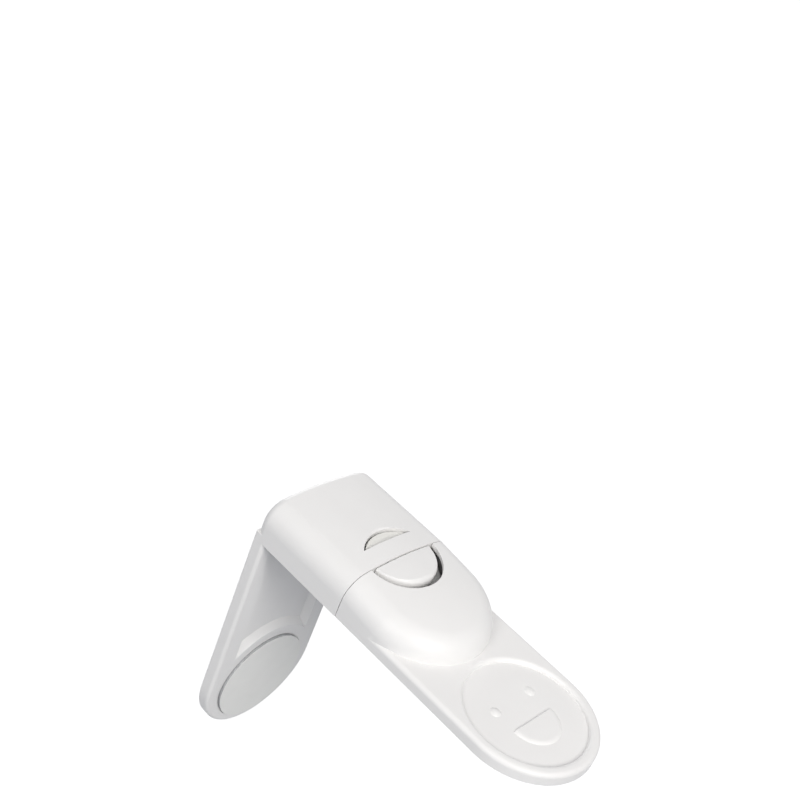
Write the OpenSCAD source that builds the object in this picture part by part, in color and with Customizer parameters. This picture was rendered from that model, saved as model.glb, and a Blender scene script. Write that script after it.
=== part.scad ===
// Cabinet safety lock: a right-angle hook that clips onto a stick-on base, with a button that lets it go.
// Millimetres. X runs from the hook along the base to its round end, Y across, Z away from the cabinet panel.
// The origin is the middle of the base pad's sticking face, on the panel.

/* [Body] */
// Width of the hook and of the base
body_width = 36; // [32:0.5:42]
// Height of the arch above the underside
crown_height = 12.6; // [12:0.2:15]
// Radius across the top of the arch
crown_radius = 78.835; // [60:0.005:140]
// Radius of the arch's shoulders
shoulder_radius = 6.5; // [5.5:0.1:8]
// Wall of the moulded shells
wall = 2.2; // [1.8:0.1:2.6]

/* [Hook] */
// From the hook's open end to the inner face of the arm
hook_length = 25.9; // [24:0.1:36]
// Thickness of the arm at its rim
arm_thick = 3.6; // [3:0.1:4.4]
// Depth of the cored-out side of the arm
arm_recess = 1.8; // [1.2:0.1:2]
// From the underside down to the middle of the arm's round end
arm_drop = 52.4; // [42:0.1:64]
// Width of the arm's rim beside the recess
arm_rim = 5.4; // [4:0.1:6]
// Width of the rim at the corner, where the recess is widest
corner_rim = 2; // [1.6:0.1:3]
// From the underside down to where the recess starts to widen
flare_drop = 17; // [10:0.5:24]
// Slant of the recess's sides and of the ring's, across
side_slant = 1.6; // [1:0.1:2.4]
// Wall of the ring round the arm pad
ring_wall = 3; // [1.6:0.1:3.4]
// Rounding of the arm's inner edge
arm_round = 1; // [0.6:0.1:1.4]
// Rounding of the arm's outer edge
arm_back_round = 0.4; // [0.3:0.1:0.8]
// Rounding round the closed end of the arch
corner_round = 2.5; // [1.5:0.25:3]
// Height of the rails under the tongue
rail_height = 1.4; // [1.1:0.1:1.6]
// Width of the rails under the tongue
rail_width = 2.8; // [2:0.1:4]

/* [Base] */
// Thickness of the tail at its edge
tail_thick = 3.4; // [3.2:0.1:4.2]
// Rounding of the tail's upper edge
tail_round = 1.2; // [0.5:0.1:1.4]
// From the dish's edge to the dome, along the tail
nose_gap = 0.3; // [0.2:0.1:6]
// From the hook's open end to the centre of the dome's nose
dome_length = 10.6; // [9:0.1:13]
// Slope of the dome down to the tail, in degrees
dome_tilt = 5.25; // [4.5:0.25:7]
// Thickness of the plate that closes the dome
plate_thick = 2; // [1.6:0.1:2.2]
// Room behind the tongue's end inside the hook
tongue_gap = 5.4; // [3:0.2:10]
// Thickness of the tongue
tongue_thick = 1.6; // [1.4:0.05:1.7]

/* [Face] */
// Width of the rim round the dish
rim_width = 1.8; // [1.6:0.1:4]
// Depth of the dish
dish_depth = 1.1; // [0.6:0.1:1.2]
// Rounding of the dish's rim
dish_round = 1; // [0.9:0.1:1.6]
// Distance from the middle to an eye, across
eye_spread = 6.4; // [5:0.2:7.4]
// Distance from the middle back to the eyes
eye_back = 4; // [3:0.2:5]
// Radius of an eye
eye_radius = 1.4; // [1:0.1:1.7]
// Radius of the half-moon mouth
mouth_radius = 7.5; // [6:0.25:8]
// Distance from the middle forward to the mouth's straight edge
mouth_front = 2.2; // [1.6:0.2:3]
// Rounding of the mouth's curved edge
mouth_round = 1.6; // [1:0.1:1.8]
// Height of the eyes and the mouth above the dish
figure_height = 0.45; // [0.3:0.05:0.6]

/* [Button] */
// Radius of the D button
button_radius = 9.4; // [8.5:0.1:10]
// How far the middle of the D's round lies behind the parting line
button_set = 0.6; // [0.3:0.1:1]
// Gap round the button in its notch
button_gap = 1.5; // [0.8:0.05:1.6]
// How far the button's top lies below the arch's
button_sink = 0.3; // [0.2:0.05:0.5]
// Thickness of the dome's lip round the button
lip_thick = 1; // [0.9:0.05:1.3]
// Rounding of the button's edge
button_round = 1.2; // [0.8:0.1:1.6]
// How far the button goes down
button_travel = 1.6; // [1.4:0.05:1.75]
// How far the button's flange reaches under the dome past the notch
flange_lap = 0.7; // [0.5:0.1:1]
// Thickness of the flange
flange_thick = 1.2; // [1:0.1:1.3]
// Wall of the button
button_wall = 1.8; // [1.4:0.1:2.2]
// Radius of the post that guides the button
post_radius = 2; // [1.6:0.1:2.3]
// Wall of the button's guide tube
tube_wall = 1.5; // [1.2:0.1:1.8]
// From the parting line to the post
post_back = 4.8; // [4.4:0.1:5.2]

/* [Latch] */
// Width of the band between the window and the parting line
band_width = 5.3; // [4.6:0.1:6]
// Thickness of the band, where the catch passes under it
band_thick = 1.4; // [1.2:0.1:1.6]
// Depth of the crescent window, along the hook
window_depth = 3.6; // [3:0.1:4.2]
// Half the length of the crescent window
window_half = 8.2; // [7.4:0.1:8.6]
// Rounding of the window's outer lip
lip_round = 1.2; // [1:0.1:1.8]
// How far the catch lies below the top of the hook
catch_recess = 0.9; // [0.6:0.05:1]
// Gap round the catch in its window
catch_gap = 0.5; // [0.3:0.05:0.6]
// Thickness of the latch leaf
leaf_thick = 1.3; // [1.1:0.05:1.4]
// Width of the latch leaf
leaf_width = 18; // [16.5:0.25:19]
// Length of the leaf's fixed root
root_length = 6; // [5:0.25:6.5]
// Width of the leaf's fixed root
root_width = 10; // [8:0.25:11]
// From the button's flange to the leaf's fixed root
root_gap = 1.9; // [1.5:0.1:2.4]
// Length of the ramp that the hook rides over
ramp_length = 4.5; // [3.5:0.25:5.5]
// Radius of the peg through the leaf's root
peg_radius = 1.5; // [1.2:0.1:1.8]

/* [Fasteners] */
// Radius of the screw shank
screw_radius = 1; // [0.8:0.05:1.2]
// Radius of the screw head
head_radius = 1.8; // [1.6:0.1:1.9]
// Height of the screw head
head_height = 1; // [0.8:0.05:1.2]
// Length of the screw under its head
screw_length = 4.6; // [3.8:0.1:5]
// Radius of the screw bosses
boss_radius = 2.4; // [2.1:0.1:2.6]
// From the inside of the dome's wall to a screw, across
screw_inset = 3.8; // [3.5:0.1:4.2]
// From the nose's centre forward to the screws
screw_front = 4; // [3.6:0.1:4.4]

/* [Pads] */
// From the side of the lock to the edge of both foam pads
pad_margin = 4.2; // [4:0.1:6]
// Thickness of the foam tape
foam_thick = 1; // [0.9:0.05:1.4]
// Thickness of the release liner
liner_thick = 0.12; // [0.1:0.01:0.16]
// How far the arm pad lies below the middle of the arm's round end
pad_shift = 1.5; // [0:0.1:2]
// How far the pads stand out of the mouldings
pad_proud = 0.7; // [0.5:0.05:0.8]

/* [Fits] */
// Gap between the hook and the base at the parting line
parting_gap = 0.15; // [0.1:0.05:0.3]
// Clearance of the tongue inside the hook, each side
slide_clearance = 0.2; // [0.15:0.01:0.25]
// Clearance of the button's tube on its post, each side
bore_clearance = 0.08; // [0.05:0.01:0.1]
// Clearance round pads and plates, and behind the button's flat face
seat_clearance = 0.3; // [0.2:0.05:0.4]
// Clearance under pieces that move down
stop_clearance = 0.4; // [0.3:0.05:0.5]

/* [Hidden] */
$fn = 96;
white_abs = [0.94, 0.94, 0.93];
leaf_pom = [0.92, 0.92, 0.91];
foam_grey = [0.62, 0.62, 0.63];
liner_grey = [0.8, 0.8, 0.8];
screw_steel = [0.6, 0.6, 0.62];

// how far every cut runs past the face it opens, as a share of the wall
overrun_share = 0.25;
overrun = wall * overrun_share;
half_width = body_width / 2;
pad_radius = half_width - pad_margin;
dish_radius = half_width - rim_width;
under = pad_proud;
crown = under + crown_height;
seat_depth = foam_thick + liner_thick - pad_proud;
seat_radius = pad_radius + seat_clearance;

// the arch: crown and shoulder arcs meet on a line through both centres
crown_centre = crown - crown_radius;
shoulder_y = half_width - shoulder_radius;
shoulder_rise = sqrt(pow(crown_radius - shoulder_radius, 2) - pow(shoulder_y, 2));
shoulder_z = crown_centre + shoulder_rise;

// along the lock, from the middle of the base pad back to the arm
nose = -dish_radius - nose_gap - half_width;
parting = nose - dome_length;
base_start = parting + parting_gap;
arm_in = parting - hook_length;
arm_out = arm_in - arm_thick;
arm_floor = arm_in - arm_recess;
arm_centre = under - arm_drop;
pad_z = arm_centre - pad_shift;
flare_z = under - flare_drop;
ring_radius = seat_radius + ring_wall;
floor_half = half_width - arm_rim - side_slant;
flare_half = half_width - corner_rim - side_slant;
tail_top = under + tail_thick;

rail_top = under + rail_height;
rail_half = half_width - wall - rail_width;
tongue_low = rail_top + slide_clearance;
tongue_top = tongue_low + tongue_thick;
tongue_half = half_width - wall - slide_clearance;
tongue_end = arm_floor + tongue_gap;
plate_low = under + slide_clearance;
plate_top = plate_low + plate_thick;

// the leaf clears the tongue by the button's travel and the stop clearance
leaf_low = tongue_top + button_travel + slide_clearance;
leaf_top = leaf_low + leaf_thick;
band_back = parting - band_width;
window_radius = (pow(window_half, 2) + pow(window_depth, 2)) / (2 * window_depth);
window_centre = band_back - window_depth + window_radius;
lip_radius = sqrt(pow(window_half, 2) + pow(band_width, 2));
catch_top = crown - catch_recess;
catch_back = band_back - window_depth + catch_gap;
roof_low = crown - wall;
ramp_top = roof_low - stop_clearance;

post_x = parting + post_back;
tube_radius = post_radius + bore_clearance + tube_wall;
button_face = parting + seat_clearance;
button_top = crown - button_sink;
button_x = parting - button_set;
notch_radius = button_radius + button_gap;
flange_radius = notch_radius + flange_lap;
tube_low = tongue_top + button_travel + stop_clearance;
bore_top = button_top - button_wall;
post_top = bore_top - button_travel - stop_clearance;
slot_half = tube_radius + stop_clearance;
root_start = button_x + flange_radius + root_gap;
root_end = root_start + root_length;
root_middle = root_start + root_length / 2;
root_half = root_width / 2;
screw_x = nose + screw_front;
screw_y = half_width - wall - screw_inset;
head_low = plate_low + slide_clearance;
pilot_top = head_low + head_height + screw_length + stop_clearance;
// length of the closed end that is drawn with its rounding
end_length = 2 * corner_round;
// heights inside the dome's wall, as shares of the arch and of the wall
boss_share = 0.58;
boss_top = under + crown_height * boss_share;
pillar_share = 0.6;
pillar_top = crown - (root_end - parting) * tan(dome_tilt) - wall * pillar_share;

// the part of the arch's section between its shoulders, fanned out from the crown's centre
module crown_wedge() {
    intersection() {
        polygon([[0, crown_centre], [2 * shoulder_y, crown_centre + 2 * shoulder_rise],
            [-2 * shoulder_y, crown_centre + 2 * shoulder_rise]]);
        translate([-half_width, shoulder_z])
            square([body_width, crown_radius]);
    }
}

// the arch's section, set in by a distance, with its foot at a height: across in x, up in y
module arch_section(inset, foot) {
    intersection() {
        union() {
            intersection() {
                translate([0, crown_centre])
                    circle(crown_radius - inset, $fn = 4 * $fn);
                crown_wedge();
            }
            for (side = [-1, 1])
                translate([side * shoulder_y, shoulder_z])
                    circle(shoulder_radius - inset);
            translate([inset - half_width, foot])
                square([body_width - 2 * inset, shoulder_z - foot]);
        }
        translate([-half_width, foot])
            square([body_width, crown_radius]);
    }
}

// draws a section, across and up, along X from one place to another
module along_x(start, end) {
    translate([start, 0, 0])
        rotate([90, 0, 90])
            linear_extrude(end - start)
                children();
}

// a bar with a half-round end at +X and a square end at a length behind it, from its half section
module stadium(length) {
    rotate([0, 0, -90])
        rotate_extrude(angle = 180)
            intersection() {
                children();
                translate([0, -crown_radius])
                    square([body_width, 2 * crown_radius]);
            }
    along_x(-length, 0) {
        children();
        mirror([1, 0])
            children();
    }
}

// half section of a plate whose edge is rounded above, and below where asked
module edge_section(half, low, high, round_high, round_low) {
    translate([0, low + round_low])
        square([half, high - low - round_high - round_low]);
    translate([0, low])
        square([half - max(round_high, round_low), high - low]);
    translate([0, low])
        square([half - round_low, high - low - round_high]);
    translate([0, low + round_low])
        square([half - round_high, high - low - round_low]);
    translate([half - round_high, high - round_high])
        circle(round_high);
    if (round_low > 0)
        translate([half - round_low, low + round_low])
            circle(round_low);
}

// what is cut away inside a soft round rim: the rim turns over from its top to a depth
module rim_cut(radius, round, depth) {
    rotate_extrude()
        difference() {
            translate([0, -depth])
                square([radius, depth + overrun]);
            translate([radius, -round])
                circle(round);
        }
}

// the dome: the arch with a round nose, sloping down from the parting line, set in by a distance
module dome(inset) {
    length = nose - parting + wall;
    translate([parting, 0, crown])
        rotate([0, dome_tilt, 0])
            translate([nose - parting, 0, -crown])
                stadium(length)
                    arch_section(inset, -crown_height);
}

module slab(start, end, low, high) {
    translate([start, -body_width, low])
        cube([end - start, 2 * body_width, high - low]);
}

// the crescent, in plan, set in by a distance
module crescent(inset) {
    intersection() {
        translate([window_centre, 0])
            circle(window_radius - inset, $fn = 2 * $fn);
        translate([band_back - inset - body_width, -half_width])
            square([body_width, body_width]);
    }
}

module hook_shell() {
    color(white_abs)
        difference() {
            union() {
                along_x(arm_out + end_length, parting)
                    arch_section(0, under);
                translate([arm_out + end_length, 0, 0])
                    arch_end();
                translate([arm_out, 0, arm_centre])
                    rotate([0, 90, 0])
                        stadium(arm_drop + wall)
                            edge_section(half_width, 0, arm_thick, arm_round, arm_back_round);
            }
            along_x(arm_floor, parting + overrun)
                arch_section(wall, rail_top);
            translate([arm_floor, -rail_half, under - overrun])
                cube([parting - arm_floor + overrun, 2 * rail_half, rail_height + 2 * overrun]);
            intersection() {
                along_x(band_back - overrun, parting + overrun)
                    arch_section(band_thick, rail_top);
                translate([arm_in, -window_half - stop_clearance, rail_top])
                    cube([hook_length + wall, 2 * (window_half + stop_clearance), crown_height]);
            }
            translate([0, 0, roof_low - overrun - shoulder_radius])
                linear_extrude(wall + 2 * overrun + shoulder_radius)
                    crescent(0);
            intersection() {
                translate([parting, 0, crown])
                    rim_cut(lip_radius, lip_round, lip_round);
                slab(arm_in, band_back, rail_top, crown + overrun);
            }
            arm_recess_cut();
            translate([arm_in - seat_depth, 0, pad_z])
                rotate([0, 90, 0])
                    cylinder(r = seat_radius, h = seat_depth + overrun);
        }
}

// the closed end of the arch, from x = 0 back, rounded all along its edge
module arch_end() {
    intersection() {
        translate([0, 0, crown_centre])
            end_disc(crown_radius);
        along_x(-end_length - overrun, overrun)
            crown_wedge();
    }
    intersection() {
        for (side = [-1, 1])
            translate([0, side * shoulder_y, shoulder_z])
                end_disc(shoulder_radius);
        slab(-end_length - overrun, overrun, shoulder_z, crown);
    }
    translate([0, 0, under])
        linear_extrude(shoulder_z - under)
            rotate(90) {
                edge_section(half_width, 0, end_length, corner_round, 0);
                mirror([1, 0])
                    edge_section(half_width, 0, end_length, corner_round, 0);
            }
}

// a round of the closed end about the X axis, its far edge rounded
module end_disc(radius) {
    rotate([0, -90, 0])
        rotate_extrude($fn = 2 * $fn)
            edge_section(radius, 0, end_length, corner_round, 0);
}

// the cored-out side of the arm, between the rims and above the ring round the pad
module arm_recess_cut() {
    difference() {
        union() {
            translate([arm_floor, 0, 0])
                rotate([90, 0, 90])
                    linear_extrude(arm_recess + overrun)
                        recess_outline();
            recess_side();
            mirror([0, 1, 0])
                recess_side();
        }
        translate([arm_floor - arm_recess, 0, pad_z])
            rotate([0, 90, 0])
                cylinder(r1 = ring_radius + 2 * side_slant, r2 = ring_radius - side_slant, h = 3 * arm_recess);
    }
}

// the middle of the recess, within its slanted sides: across in x, up in y
module recess_outline() {
    low = floor_half - overrun / 2;
    high = flare_half - overrun / 2;
    polygon([[-low, arm_centre], [low, arm_centre], [low, flare_z], [high, rail_top], [-high, rail_top],
        [-low, flare_z]]);
}

// one slanted side of the recess: straight beside the arm's rim, then spreading towards the corner
module recess_side() {
    spread = atan((flare_half - floor_half) / (rail_top - flare_z));
    translate([arm_floor, floor_half, arm_centre])
        linear_extrude(flare_z - arm_centre + overrun)
            slant_section();
    intersection() {
        translate([arm_floor, floor_half, flare_z])
            rotate([-spread, 0, 0])
                linear_extrude(arm_drop)
                    slant_section();
        slab(arm_out, parting, arm_centre, rail_top);
    }
}

// the slant, cut across: out of the recess in x, sideways in y
module slant_section() {
    depth = arm_recess + overrun;
    polygon([[0, 0], [0, -overrun], [depth, -overrun], [depth, side_slant * depth / arm_recess]]);
}

module base_cover() {
    color(white_abs)
        difference() {
            union() {
                difference() {
                    union() {
                        stadium(-base_start)
                            edge_section(half_width, under, tail_top, tail_round, 0);
                        intersection() {
                            dome(0);
                            slab(base_start, half_width, under, crown);
                        }
                    }
                    intersection() {
                        dome(wall);
                        slab(parting - wall, half_width, under - overrun, crown);
                    }
                    translate([0, 0, tail_top])
                        rim_cut(dish_radius, dish_round, dish_depth);
                }
                cover_bosses();
                translate([0, 0, tail_top - dish_depth])
                    face();
            }
            translate([button_x, 0, plate_top])
                cylinder(r = notch_radius, h = crown_height);
            intersection() {
                dome(lip_thick);
                translate([button_x, 0, plate_top])
                    cylinder(r = flange_radius + stop_clearance, h = crown_height);
            }
            translate([0, 0, under - overrun])
                cylinder(r = seat_radius, h = seat_depth + overrun);
            for (side = [-1, 1])
                translate([screw_x, side * screw_y, plate_top - overrun])
                    cylinder(r = screw_radius, h = pilot_top - plate_top + overrun);
        }
}

// screw bosses and the pillar that holds the leaf's root down, both ending inside the dome's wall
module cover_bosses() {
    for (side = [-1, 1])
        translate([screw_x, side * screw_y, plate_top])
            cylinder(r = boss_radius, h = boss_top - plate_top);
    difference() {
        translate([root_start, -root_half, leaf_top])
            cube([root_length, root_width, pillar_top - leaf_top]);
        translate([root_middle, 0, leaf_top - overrun])
            cylinder(r = peg_radius + seat_clearance, h = overrun + 2 * seat_clearance);
    }
}

// the raised eyes and mouth, on a floor at z = 0 and rooted in it
module face() {
    eye_curve = (pow(eye_radius, 2) + pow(figure_height, 2)) / (2 * figure_height);
    intersection() {
        for (side = [-1, 1])
            translate([-eye_back, side * eye_spread, figure_height - eye_curve])
                sphere(eye_curve);
        slab(-half_width, half_width, -overrun, 2 * figure_height);
    }
    intersection() {
        translate([mouth_front, 0, 0])
            rotate_extrude()
                edge_section(mouth_radius, -mouth_round, figure_height, mouth_round, 0);
        slab(mouth_front, half_width, -crown_height, crown_height);
    }
}

module base_plate() {
    color(white_abs)
        difference() {
            union() {
                intersection() {
                    dome(wall + seat_clearance);
                    slab(base_start, half_width, plate_low, plate_top);
                }
                translate([tongue_end, -tongue_half, tongue_low])
                    cube([parting + wall - tongue_end, 2 * tongue_half, tongue_thick]);
                translate([base_start, -tongue_half + seat_clearance, plate_low])
                    cube([wall, 2 * (tongue_half - seat_clearance), tongue_top - plate_low]);
                translate([post_x, 0, plate_low])
                    cylinder(r = post_radius, h = post_top - plate_low);
                translate([root_start, -root_half, plate_low])
                    cube([root_length, root_width, leaf_low - plate_low]);
                translate([root_middle, 0, plate_low])
                    cylinder(r = peg_radius, h = leaf_top + seat_clearance - plate_low);
            }
            for (side = [-1, 1])
                translate([screw_x, side * screw_y, plate_low - overrun]) {
                    cylinder(r = screw_radius + bore_clearance, h = plate_thick + 2 * overrun);
                    cylinder(r = head_radius + slide_clearance, h = overrun + slide_clearance + head_height);
                }
        }
}

module base_screws() {
    slot_share = 0.3;
    slot_width = head_radius * slot_share;
    slot_reach = head_radius - slot_width;
    color(screw_steel)
        for (side = [-1, 1])
            translate([screw_x, side * screw_y, head_low])
                difference() {
                    union() {
                        cylinder(r = head_radius, h = head_height);
                        cylinder(r = screw_radius, h = head_height + screw_length);
                    }
                    for (turn = [0, 90])
                        rotate([0, 0, turn])
                            translate([-slot_reach, -slot_width / 2, -overrun])
                                cube([2 * slot_reach, slot_width, overrun + head_height / 2]);
                }
}

module latch_leaf() {
    shoulder = screw_x - boss_radius - stop_clearance;
    color(leaf_pom)
        difference() {
            union() {
                translate([catch_back, -leaf_width / 2, leaf_low])
                    cube([shoulder - catch_back, leaf_width, leaf_thick]);
                translate([catch_back, -root_half, leaf_low])
                    cube([root_end - catch_back, root_width, leaf_thick]);
                translate([0, 0, leaf_low])
                    linear_extrude(catch_top - leaf_low)
                        crescent(catch_gap);
                translate([0, window_half / 2, 0])
                    rotate([90, 0, 0])
                        linear_extrude(window_half)
                            polygon([[catch_back + overrun, leaf_low], [catch_back + overrun, ramp_top],
                                [catch_back - seat_clearance, ramp_top],
                                [catch_back - ramp_length, leaf_low + leaf_thick / 2],
                                [catch_back - ramp_length, leaf_low]]);
            }
            translate([post_x, 0, leaf_low - overrun]) {
                cylinder(r = slot_half, h = leaf_thick + 2 * overrun);
                translate([-stop_clearance, -slot_half, 0])
                    cube([2 * stop_clearance, 2 * slot_half, leaf_thick + 2 * overrun]);
            }
            translate([root_middle, 0, leaf_low - overrun])
                cylinder(r = peg_radius + bore_clearance, h = leaf_thick + 2 * overrun);
        }
}

module release_button() {
    color(white_abs)
        difference() {
            union() {
                intersection() {
                    union() {
                        translate([button_x, 0, 0])
                            rotate_extrude()
                                edge_section(button_radius, leaf_top, button_top, button_round, 0);
                        translate([button_x, 0, leaf_top])
                            cylinder(r = flange_radius, h = flange_thick);
                    }
                    along_x(button_face, half_width)
                        arch_section(button_sink, under);
                }
                translate([post_x, 0, tube_low])
                    cylinder(r = tube_radius, h = bore_top - tube_low + overrun);
            }
            difference() {
                intersection() {
                    translate([button_x, 0, leaf_top - overrun])
                        cylinder(r = button_radius - button_wall, h = bore_top - leaf_top + overrun);
                    slab(button_face + button_wall, half_width, leaf_top - overrun, crown);
                }
                translate([post_x, 0, leaf_top - 2 * overrun])
                    cylinder(r = tube_radius, h = crown_height);
            }
            translate([post_x, 0, tube_low - overrun])
                cylinder(r = post_radius + bore_clearance, h = bore_top - tube_low + overrun);
        }
}

module arm_foam_pad() {
    color(foam_grey)
        translate([arm_in - seat_depth, 0, pad_z])
            rotate([0, 90, 0])
                cylinder(r = pad_radius, h = foam_thick);
}

module arm_liner() {
    color(liner_grey)
        translate([arm_in - seat_depth + foam_thick, 0, pad_z])
            rotate([0, 90, 0])
                cylinder(r = pad_radius, h = liner_thick);
}

module tail_foam_pad() {
    color(foam_grey)
        translate([0, 0, liner_thick])
            cylinder(r = pad_radius, h = foam_thick);
}

module tail_liner() {
    color(liner_grey)
        cylinder(r = pad_radius, h = liner_thick);
}

hook_shell();
arm_foam_pad();
arm_liner();
base_cover();
base_plate();
base_screws();
latch_leaf();
release_button();
tail_foam_pad();
tail_liner();
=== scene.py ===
import math

import bmesh
import bpy
from mathutils import Euler, Matrix, Vector


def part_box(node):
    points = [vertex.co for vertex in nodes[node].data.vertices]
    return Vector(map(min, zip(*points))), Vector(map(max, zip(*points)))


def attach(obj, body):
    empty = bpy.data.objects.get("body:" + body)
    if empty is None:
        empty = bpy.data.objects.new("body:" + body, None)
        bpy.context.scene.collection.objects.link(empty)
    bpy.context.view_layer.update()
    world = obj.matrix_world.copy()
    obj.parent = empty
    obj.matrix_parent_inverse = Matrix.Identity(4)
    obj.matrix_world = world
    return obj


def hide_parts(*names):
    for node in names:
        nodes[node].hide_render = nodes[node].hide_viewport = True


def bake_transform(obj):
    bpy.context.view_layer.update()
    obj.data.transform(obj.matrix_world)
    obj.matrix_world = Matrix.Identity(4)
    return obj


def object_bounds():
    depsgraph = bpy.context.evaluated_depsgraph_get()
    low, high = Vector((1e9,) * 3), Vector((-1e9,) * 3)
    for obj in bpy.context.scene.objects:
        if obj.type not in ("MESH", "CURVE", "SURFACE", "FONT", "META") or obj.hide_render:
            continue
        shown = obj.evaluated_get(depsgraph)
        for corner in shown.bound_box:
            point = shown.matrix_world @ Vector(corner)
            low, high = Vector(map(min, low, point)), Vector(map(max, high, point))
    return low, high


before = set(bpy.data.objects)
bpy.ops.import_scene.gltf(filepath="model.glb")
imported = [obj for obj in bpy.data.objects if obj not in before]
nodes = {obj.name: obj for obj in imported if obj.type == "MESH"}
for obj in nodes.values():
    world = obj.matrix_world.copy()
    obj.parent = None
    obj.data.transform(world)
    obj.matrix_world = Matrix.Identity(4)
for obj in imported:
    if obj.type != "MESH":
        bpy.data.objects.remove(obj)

cad_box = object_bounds()
MM = 0.001

# Outer edges sharper than this get a small radius, and inside corners sharper than this stay crisp.
ROUNDED_FROM = math.radians(40)
CRISP_FROM = math.radians(16)
# Points of one solid that lie this close are one point, and faces this close to one plane are one face.
SAME_POINT = 0.0005 * MM
SAME_PLANE = math.radians(0.4)
EDGE_RADIUS_MM = {"hook_shell": 0.3, "base_cover": 0.2, "base_plate": 0.2, "release_button": 0.25}

# The edges of the stick-on discs, as (distance in from the rim, height), both in thicknesses of the disc.
FOAM_EDGE = ((0.32, 0), (0.16, 0.02), (0.048, 0.16), (0, 0.34),
             (0, 0.66), (0.048, 0.84), (0.16, 0.98), (0.32, 1))
FILM_EDGE = ((0.2, 0), (0, 0.25), (0, 0.75), (0.2, 1))
DISC_SIDES = 144
CUT_WAVER = 0.03 * MM
DISC_SHARP_FROM = math.radians(50)

# The leaf is held from this far forward of the button, and is free from this far under it.
NECK_HELD = 1.9 * MM
NECK_FREE = 1.2 * MM
NECK_CUTS = 14

# The paper floor and the soft boxes, in metres. The lift is the white that the floor adds where it is seen.
FLOOR_HALF = 3.0
FLOOR_DROP = 0.2 * MM
FLOOR_LIFT = 0.865
LAMP_DISTANCE = 0.8
LAMP_SIZE = 0.3

# The camera, fitted to the straight edges and round ends in the photograph.
SENSOR_MM = 36
LENS_MM = 60.744
NEAR_CLIP = 0.01
CAMERA_AT_MM = (78.354, -221.659, 207.453)
CAMERA_TURN_DEG = (56.5355, -18.6398, 44.2723)


def linear(hex_colour):
    """An sRGB hex colour as linear red, green, blue and full alpha."""
    parts = [int(hex_colour[i:i + 2], 16) / 255 for i in (0, 2, 4)]
    return [c / 12.92 if c <= 0.04045 else ((c + 0.055) / 1.055) ** 2.4 for c in parts] + [1.0]


def add(tree, kind, values=None, links=None, **settings):
    """One node with its settings, its fixed inputs and its links."""
    made = tree.nodes.new(kind)
    for name, value in settings.items():
        setattr(made, name, value)
    for name, value in (values or {}).items():
        made.inputs[name].default_value = value
    for name, socket in (links or {}).items():
        tree.links.new(socket, made.inputs[name])
    return made


def per_metre(size_mm):
    """The pattern scale that gives features of about this size."""
    return 1 / (size_mm * MM)


def new_material(name):
    """An empty material with the place of each piece, in metres, as its pattern space."""
    material = bpy.data.materials.new(name)
    material.use_nodes = True
    tree = material.node_tree
    tree.nodes.clear()
    place = add(tree, "ShaderNodeTexCoord").outputs["Object"]
    return material, tree, place


def moulded_abs():
    """ABS, injection moulded in a lightly blasted tool: a satin sheen with soft highlights, faint flow
    mottling and a shallow unevenness where the walls shrink. The tool's grain is about 0.05 mm and is
    drawn at 0.45 mm, because it would be too fine to show."""
    flow_mm, grain_mm, sink_mm = 11, 0.45, 16
    material, tree, place = new_material("abs_moulded_white")
    flow = add(tree, "ShaderNodeTexNoise", {"Scale": per_metre(flow_mm), "Detail": 2.0, "Distortion": 0.6},
               {"Vector": place})
    colour = add(tree, "ShaderNodeMix", {"A": linear("F0EFEE"), "B": linear("ECEBEA")},
                 {"Factor": flow.outputs["Fac"]}, data_type="RGBA")
    grain = add(tree, "ShaderNodeTexNoise", {"Scale": per_metre(grain_mm), "Detail": 1.5}, {"Vector": place})
    sheen = add(tree, "ShaderNodeMapRange", {"To Min": 0.4, "To Max": 0.51}, {"Value": grain.outputs["Fac"]})
    sink = add(tree, "ShaderNodeTexNoise", {"Scale": per_metre(sink_mm), "Detail": 0.0}, {"Vector": place})
    shrunk = add(tree, "ShaderNodeBump", {"Strength": 0.35, "Distance": 0.06 * MM},
                 {"Height": sink.outputs["Fac"]})
    surface = add(tree, "ShaderNodeBump", {"Strength": 0.1, "Distance": 0.012 * MM},
                  {"Height": grain.outputs["Fac"], "Normal": shrunk.outputs["Normal"]})
    shell = add(tree, "ShaderNodeBsdfPrincipled", {"IOR": 1.54},
                {"Base Color": colour.outputs["Result"], "Roughness": sheen.outputs["Result"],
                 "Normal": surface.outputs["Normal"]})
    add(tree, "ShaderNodeOutputMaterial", links={"Surface": shell.outputs["BSDF"]})
    return material


def moulded_acetal():
    """Acetal, moulded: a waxy white with a softer sheen than the shell and a faint drag along the strip,
    drawn 0.8 mm wide and four times as long."""
    drag_mm, drawn_out = 0.8, (0.25, 1.0, 1.0)
    material, tree, place = new_material("acetal_moulded")
    drawn = add(tree, "ShaderNodeMapping", {"Scale": drawn_out}, {"Vector": place})
    drag = add(tree, "ShaderNodeTexNoise", {"Scale": per_metre(drag_mm), "Detail": 2.0},
               {"Vector": drawn.outputs["Vector"]})
    colour = add(tree, "ShaderNodeMix", {"A": linear("EFEEEA"), "B": linear("E6E5E0")},
                 {"Factor": drag.outputs["Fac"]}, data_type="RGBA")
    sheen = add(tree, "ShaderNodeMapRange", {"To Min": 0.38, "To Max": 0.5}, {"Value": drag.outputs["Fac"]})
    surface = add(tree, "ShaderNodeBump", {"Strength": 0.15, "Distance": 0.01 * MM},
                  {"Height": drag.outputs["Fac"]})
    strip = add(tree, "ShaderNodeBsdfPrincipled", {"IOR": 1.48},
                {"Base Color": colour.outputs["Result"], "Roughness": sheen.outputs["Result"],
                 "Normal": surface.outputs["Normal"]})
    add(tree, "ShaderNodeOutputMaterial", links={"Surface": strip.outputs["BSDF"]})
    return material


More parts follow.
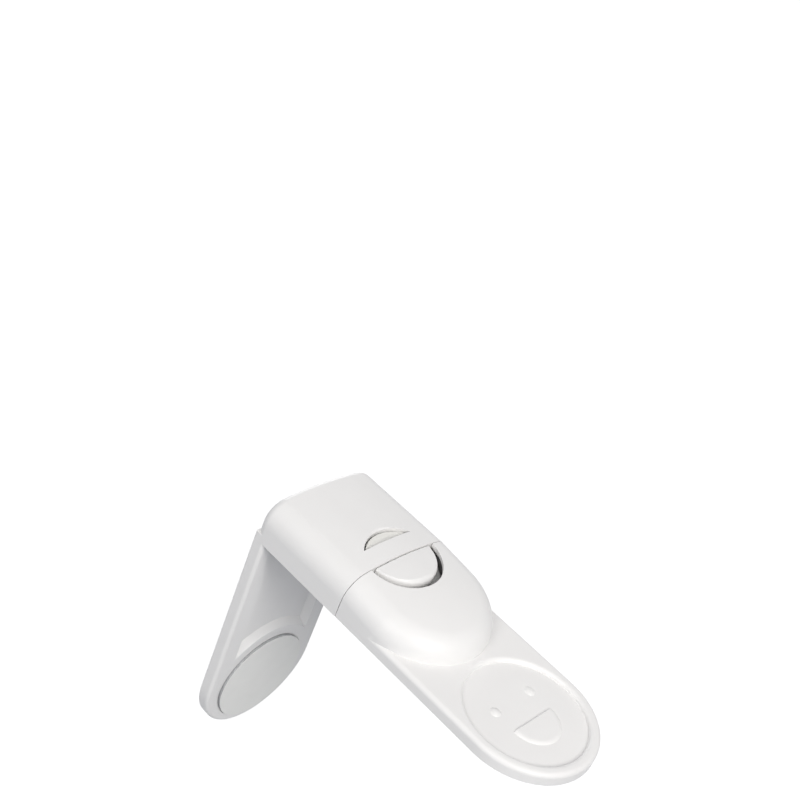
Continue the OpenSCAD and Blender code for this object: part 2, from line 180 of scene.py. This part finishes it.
def cut_foam():
    """Polyethylene foam, cut in discs: closed cells of about 0.35 mm that open along the cut edge, dull."""
    cell_mm = 0.35
    material, tree, place = new_material("polyethylene_foam_cut")
    cells = add(tree, "ShaderNodeTexVoronoi", {"Scale": per_metre(cell_mm)}, {"Vector": place})
    colour = add(tree, "ShaderNodeMix", {"A": linear("9C9DA0"), "B": linear("C9CACC")},
                 {"Factor": cells.outputs["Distance"]}, data_type="RGBA")
    surface = add(tree, "ShaderNodeBump", {"Strength": 0.5, "Distance": 0.06 * MM},
                  {"Height": cells.outputs["Distance"]}, invert=True)
    foam = add(tree, "ShaderNodeBsdfPrincipled", {"IOR": 1.5, "Roughness": 0.85},
               {"Base Color": colour.outputs["Result"], "Normal": surface.outputs["Normal"]})
    add(tree, "ShaderNodeOutputMaterial", links={"Surface": foam.outputs["BSDF"]})
    return material


def glazed_release_paper():
    """Release paper, glazed with silicone: a pale even grey with short fibres under a smooth sheen. The
    fibres are about 0.03 mm thick and are drawn at 0.5 mm, because they would be too fine to show."""
    cloud_mm, fibre_mm = 5, 0.5
    material, tree, place = new_material("release_paper_glazed")
    cloud = add(tree, "ShaderNodeTexNoise", {"Scale": per_metre(cloud_mm), "Detail": 3.0}, {"Vector": place})
    fibre = add(tree, "ShaderNodeTexNoise", {"Scale": per_metre(fibre_mm), "Detail": 2.0, "Distortion": 1.5},
                {"Vector": place})
    colour = add(tree, "ShaderNodeMix", {"A": linear("F3F3F0"), "B": linear("ECECE9")},
                 {"Factor": cloud.outputs["Fac"]}, data_type="RGBA")
    sheen = add(tree, "ShaderNodeMapRange", {"To Min": 0.4, "To Max": 0.52}, {"Value": fibre.outputs["Fac"]})
    surface = add(tree, "ShaderNodeBump", {"Strength": 0.12, "Distance": 0.012 * MM},
                  {"Height": fibre.outputs["Fac"]})
    paper = add(tree, "ShaderNodeBsdfPrincipled", {"IOR": 1.45},
                {"Base Color": colour.outputs["Result"], "Roughness": sheen.outputs["Result"],
                 "Normal": surface.outputs["Normal"]})
    add(tree, "ShaderNodeOutputMaterial", links={"Surface": paper.outputs["BSDF"]})
    return material


def zinc_plated_steel():
    """Steel, turned and zinc plated: a cool grey metal with a fine mottled shine."""
    mottle_mm = 0.4
    material, tree, place = new_material("steel_zinc_plated")
    mottle = add(tree, "ShaderNodeTexNoise", {"Scale": per_metre(mottle_mm), "Detail": 3.0},
                 {"Vector": place})
    colour = add(tree, "ShaderNodeMix", {"A": linear("C6C8CC"), "B": linear("AFB2B8")},
                 {"Factor": mottle.outputs["Fac"]}, data_type="RGBA")
    sheen = add(tree, "ShaderNodeMapRange", {"To Min": 0.25, "To Max": 0.42},
                {"Value": mottle.outputs["Fac"]})
    steel = add(tree, "ShaderNodeBsdfPrincipled", {"Metallic": 1.0},
                {"Base Color": colour.outputs["Result"], "Roughness": sheen.outputs["Result"]})
    add(tree, "ShaderNodeOutputMaterial", links={"Surface": steel.outputs["BSDF"]})
    return material


def looked_at(tree):
    """1 where the floor or the world is seen, straight on or in a shine, and 0 where it only gives light."""
    path = add(tree, "ShaderNodeLightPath")
    seen = path.outputs["Is Camera Ray"]
    for kind in ("Is Glossy Ray", "Is Transmission Ray"):
        seen = add(tree, "ShaderNodeMath", links={0: seen, 1: path.outputs[kind]},
                   operation="MAXIMUM").outputs[0]
    return seen


def matt_paper():
    """Paper, matt, laid out as a floor: it takes a soft shadow and is white to the eye in full light."""
    tooth_mm = 1.5
    material, tree, place = new_material("paper_sweep_matt")
    tooth = add(tree, "ShaderNodeTexNoise", {"Scale": per_metre(tooth_mm), "Detail": 2.0}, {"Vector": place})
    colour = add(tree, "ShaderNodeMix", {"A": linear("94979D"), "B": linear("909399")},
                 {"Factor": tooth.outputs["Fac"]}, data_type="RGBA")
    paper = add(tree, "ShaderNodeBsdfDiffuse", links={"Color": colour.outputs["Result"]})
    lift = add(tree, "ShaderNodeMath", {1: FLOOR_LIFT}, {0: looked_at(tree)}, operation="MULTIPLY")
    glow = add(tree, "ShaderNodeEmission", {"Color": linear("FFFEFC")}, {"Strength": lift.outputs[0]})
    both = add(tree, "ShaderNodeAddShader", links={0: paper.outputs["BSDF"], 1: glow.outputs["Emission"]})
    add(tree, "ShaderNodeOutputMaterial", links={"Surface": both.outputs["Shader"]})
    return material


def dress(node, material):
    """Gives a node of the frame its finish."""
    for holder in node.material_slots:
        holder.link = "OBJECT"
        holder.material = material


def outer_edges():
    """A node group that marks the edges that stand out, to be rounded, and keeps inside corners crisp."""
    group = bpy.data.node_groups.new("outer_edges", "GeometryNodeTree")
    for way in ("INPUT", "OUTPUT"):
        group.interface.new_socket("Geometry", in_out=way, socket_type="NodeSocketGeometry")
    shape = add(group, "NodeGroupInput").outputs[0]
    turn = add(group, "GeometryNodeInputMeshEdgeAngle").outputs["Signed Angle"]
    stands_out = add(group, "FunctionNodeCompare", {1: ROUNDED_FROM}, {0: turn}, operation="GREATER_THAN")
    not_inside = add(group, "FunctionNodeCompare", {1: -CRISP_FROM}, {0: turn}, operation="GREATER_THAN")
    marked = add(group, "GeometryNodeStoreNamedAttribute", {"Name": "bevel_weight_edge"},
                 {"Geometry": shape, "Value": stands_out.outputs[0]}, data_type="FLOAT", domain="EDGE")
    creased = add(group, "GeometryNodeSetShadeSmooth",
                  links={"Geometry": marked.outputs["Geometry"], "Shade Smooth": not_inside.outputs[0]},
                  domain="EDGE")
    add(group, "NodeGroupOutput", links={0: creased.outputs["Geometry"]})
    return group


def soften_edges(node, radius_mm, marks):
    """The small radius that every outer edge of a moulding has, on the node's own shape."""
    joined = node.modifiers.new("joined", "WELD")
    joined.merge_threshold = SAME_POINT
    flat = node.modifiers.new("flat_faces", "DECIMATE")
    flat.decimate_type = "DISSOLVE"
    flat.angle_limit = SAME_PLANE
    picked = node.modifiers.new("picked_edges", "NODES")
    picked.node_group = marks
    edge = node.modifiers.new("edge_radius", "BEVEL")
    edge.width = radius_mm * MM
    edge.segments = 3
    edge.limit_method = "WEIGHT"
    edge.miter_outer = "MITER_ARC"
    edge.use_clamp_overlap = True
    evened = node.modifiers.new("even_shading", "WEIGHTED_NORMAL")
    evened.weight = 80
    evened.keep_sharp = True


def spring_leaf(material):
    """The latch leaf as a strip of its own, cut across its neck in thin slices."""
    button_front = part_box("release_button")[1].x
    held, free = button_front + NECK_HELD, button_front - NECK_FREE
    shape = bmesh.new()
    shape.from_mesh(nodes["latch_leaf"].data)
    bmesh.ops.remove_doubles(shape, verts=shape.verts, dist=SAME_POINT)
    for step in range(NECK_CUTS + 1):
        x = held + (free - held) * step / NECK_CUTS
        bmesh.ops.bisect_plane(shape, geom=shape.verts[:] + shape.edges[:] + shape.faces[:],
                               plane_co=(x, 0, 0), plane_no=(1, 0, 0))
    for face in shape.faces:
        face.smooth = False
    mesh = bpy.data.meshes.new("latch_leaf_strip")
    shape.to_mesh(mesh)
    shape.free()
    mesh.materials.append(material)
    leaf = bpy.data.objects.new("latch_leaf_strip", mesh)
    bpy.context.scene.collection.objects.link(leaf)
    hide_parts("latch_leaf")
    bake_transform(leaf)


def cut_disc(name, radius, thick, edge, waver, place):
    """A closed round disc with the given edge, set in place by a matrix. Its radius wavers a little round
    the cut, in proportion from the middle of the disc outwards."""
    half = radius / 2
    profile = [(half, 0)] + [(radius - inset * thick, up * thick) for inset, up in edge] + [(half, thick)]
    shape = bmesh.new()
    spokes = []
    for step in range(DISC_SIDES):
        angle = 2 * math.pi * step / DISC_SIDES
        grown = 1 + waver(angle) / half
        spokes.append([shape.verts.new((far * grown * math.cos(angle), far * grown * math.sin(angle), up))
                       for far, up in profile])
    first = shape.verts.new((0, 0, 0))
    last = shape.verts.new((0, 0, thick))
    for spoke, after in zip(spokes, spokes[1:] + spokes[:1]):
        shape.faces.new((first, after[0], spoke[0]))
        shape.faces.new((last, spoke[-1], after[-1]))
        for low in range(len(spoke) - 1):
            shape.faces.new((spoke[low], after[low], after[low + 1], spoke[low + 1]))
    bmesh.ops.recalc_face_normals(shape, faces=shape.faces)
    for face in shape.faces:
        face.smooth = True
    mesh = bpy.data.meshes.new(name)
    shape.to_mesh(mesh)
    shape.free()
    mesh.set_sharp_from_angle(angle=DISC_SHARP_FROM)
    disc = bpy.data.objects.new(name, mesh)
    disc.matrix_world = place
    bpy.context.scene.collection.objects.link(disc)
    return disc


def foam_waver(angle):
    """How far the foam's cut edge falls short of its circle, uneven as a die leaves soft foam."""
    return -CUT_WAVER * (1 + math.sin(7 * angle) * math.cos(3 * angle)) / 2


def film_waver(angle):
    """How far the film's cut edge falls short of its circle, in fewer and shallower waves."""
    return -CUT_WAVER * (1 + math.sin(5 * angle + 1)) / 4


def stick_on_pad(side, body, outward, foam_material, film_material):
    """A foam disc whose cut edge bulges a little, with its liner film, each in the place of its node."""
    along = [abs(part) for part in outward].index(1)
    across = (along + 1) % 3
    foam_low, foam_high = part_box(side + "_foam_pad")
    radius = (foam_high[across] - foam_low[across]) / 2
    centre = (foam_low + foam_high) / 2
    axis_point = centre - outward * centre.dot(outward)
    turn = Vector((0, 0, 1)).rotation_difference(outward).to_matrix().to_4x4()
    for name, node, slot, material, edge, waver in (
            (side + "_foam", side + "_foam_pad", "foam_tape", foam_material, FOAM_EDGE, foam_waver),
            (side + "_liner_film", side + "_liner", "release_liner", film_material, FILM_EDGE, film_waver)):
        low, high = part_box(node)
        inner = outward * min(low.dot(outward), high.dot(outward))
        disc = cut_disc(name, radius, high[along] - low[along], edge, waver,
                        Matrix.Translation(axis_point + inner) @ turn)
        disc.data.materials.append(material)
        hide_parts(node)
        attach(disc, body)


def studio_floor():
    """A wide paper floor just under the arm's end."""
    ground = cad_box[0].z - FLOOR_DROP
    corners = [(x * FLOOR_HALF, y * FLOOR_HALF, ground) for x, y in ((-1, -1), (1, -1), (1, 1), (-1, 1))]
    mesh = bpy.data.meshes.new("studio_floor")
    mesh.from_pydata(corners, [], [(0, 1, 2, 3)])
    mesh.materials.append(matt_paper())
    floor = bpy.data.objects.new("studio_floor", mesh)
    bpy.context.scene.collection.objects.link(floor)


def studio_world(above, below):
    """Light from all round: one level and colour from above, another from below the horizon. Where it is
    seen it is white."""
    world = bpy.data.worlds.new("studio_world")
    bpy.context.scene.world = world
    world.use_nodes = True
    tree = world.node_tree
    tree.nodes.clear()
    place = add(tree, "ShaderNodeTexCoord").outputs["Generated"]
    height = add(tree, "ShaderNodeSeparateXYZ", links={0: place}).outputs["Z"]
    rise = add(tree, "ShaderNodeMapRange", {"From Min": -0.1, "From Max": 0.5}, {"Value": height},
               interpolation_type="SMOOTHSTEP").outputs["Result"]
    tint = add(tree, "ShaderNodeMix", {"A": linear(below[1]), "B": linear(above[1])}, {"Factor": rise},
               data_type="RGBA").outputs["Result"]
    level = add(tree, "ShaderNodeMapRange", {"To Min": below[0], "To Max": above[0]},
                {"Value": rise}).outputs["Result"]
    around = add(tree, "ShaderNodeBackground", links={"Color": tint, "Strength": level})
    white = add(tree, "ShaderNodeBackground", {"Color": linear("FFFFFF"), "Strength": 1.0})
    both = add(tree, "ShaderNodeMixShader", links={0: looked_at(tree), 1: around.outputs["Background"],
                                                  2: white.outputs["Background"]})
    add(tree, "ShaderNodeOutputWorld", links={"Surface": both.outputs["Shader"]})


def soft_lamp(name, toward, level, colour):
    """A square soft box. Level 1 lights a white card that faces it to plain white."""
    lamp = bpy.data.lights.new(name, "AREA")
    lamp.shape = "SQUARE"
    lamp.size = LAMP_SIZE
    lamp.energy = level * (math.pi * LAMP_DISTANCE) ** 2
    lamp.color = linear(colour)[:3]
    holder = bpy.data.objects.new(name, lamp)
    direction = Vector(toward).normalized()
    holder.location = (cad_box[0] + cad_box[1]) / 2 + direction * LAMP_DISTANCE
    holder.rotation_euler = direction.to_track_quat("Z", "Y").to_euler()
    bpy.context.scene.collection.objects.link(holder)


def photo_camera():
    """The camera that the photograph's edges give, with no shift and the lock low in the frame."""
    lens = bpy.data.cameras.new("photo_camera")
    lens.sensor_width = SENSOR_MM
    lens.lens = LENS_MM
    lens.clip_start = NEAR_CLIP
    camera = bpy.data.objects.new("photo_camera", lens)
    camera.location = Vector(CAMERA_AT_MM) * MM
    camera.rotation_euler = Euler([math.radians(turn) for turn in CAMERA_TURN_DEG], "XYZ")
    bpy.context.scene.collection.objects.link(camera)
    bpy.context.scene.camera = camera


white_abs = moulded_abs()
edge_marks = outer_edges()
for name, radius_mm in EDGE_RADIUS_MM.items():
    dress(nodes[name], white_abs)
    soften_edges(nodes[name], radius_mm, edge_marks)
dress(nodes["base_screws"], zinc_plated_steel())
spring_leaf(moulded_acetal())
foam = cut_foam()
release_paper = glazed_release_paper()
stick_on_pad("arm", "hook", Vector((1, 0, 0)), foam, release_paper)
stick_on_pad("tail", "base", Vector((0, 0, -1)), foam, release_paper)

studio_floor()
studio_world((0.495, "FDFDFF"), (0.34, "E4ECF6"))
soft_lamp("key", (0.714, -0.333, 0.616), 0.48, "FFFDFA")
soft_lamp("side", (0.0, -0.788, 0.616), 0.26, "FFFEFC")
soft_lamp("back", (-0.80, 0.585, 0.12), 0.26, "FFFFFF")
photo_camera()
bpy.context.scene.view_settings.view_transform = "Standard"
